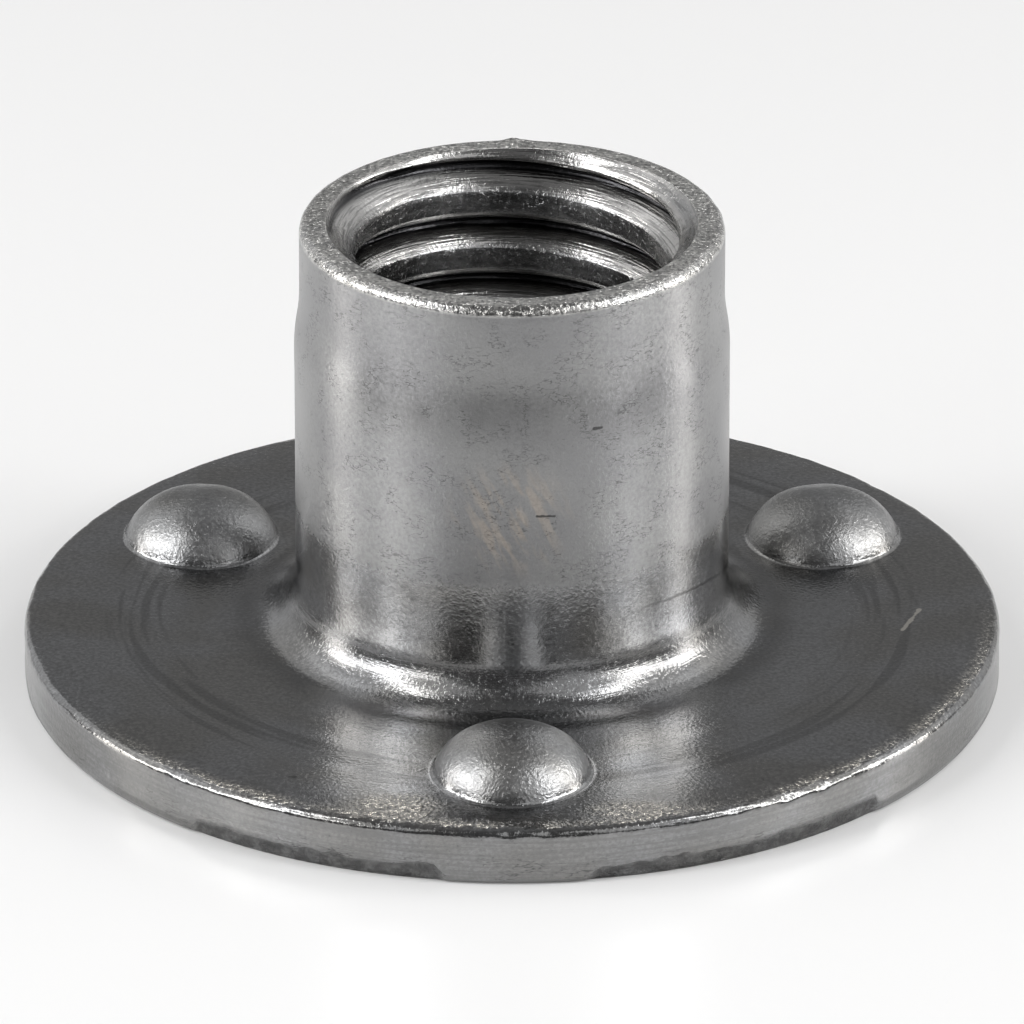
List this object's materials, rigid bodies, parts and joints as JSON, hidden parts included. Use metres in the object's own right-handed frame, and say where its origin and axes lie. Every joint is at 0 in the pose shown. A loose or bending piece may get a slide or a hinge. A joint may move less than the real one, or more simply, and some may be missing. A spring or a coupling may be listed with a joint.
{
  "type": "projection weld nut",
  "caption": "Round-base projection weld nut: a tapped barrel drawn up from a blanked steel disc, ringed by domed weld projections that fuse the base to a panel.",
  "frame": {"origin": "centre of the underside of the base", "axes": "+Z along the bore from the base to the rim, -Y towards one weld projection"},
  "size_m": [0.0254, 0.0254, 0.0127],
  "materials": {
    "steel": "plain, lightly oiled"
  },
  "bodies": {
    "root": {"weld_nut": "steel"}
  },
  "joints": []
}
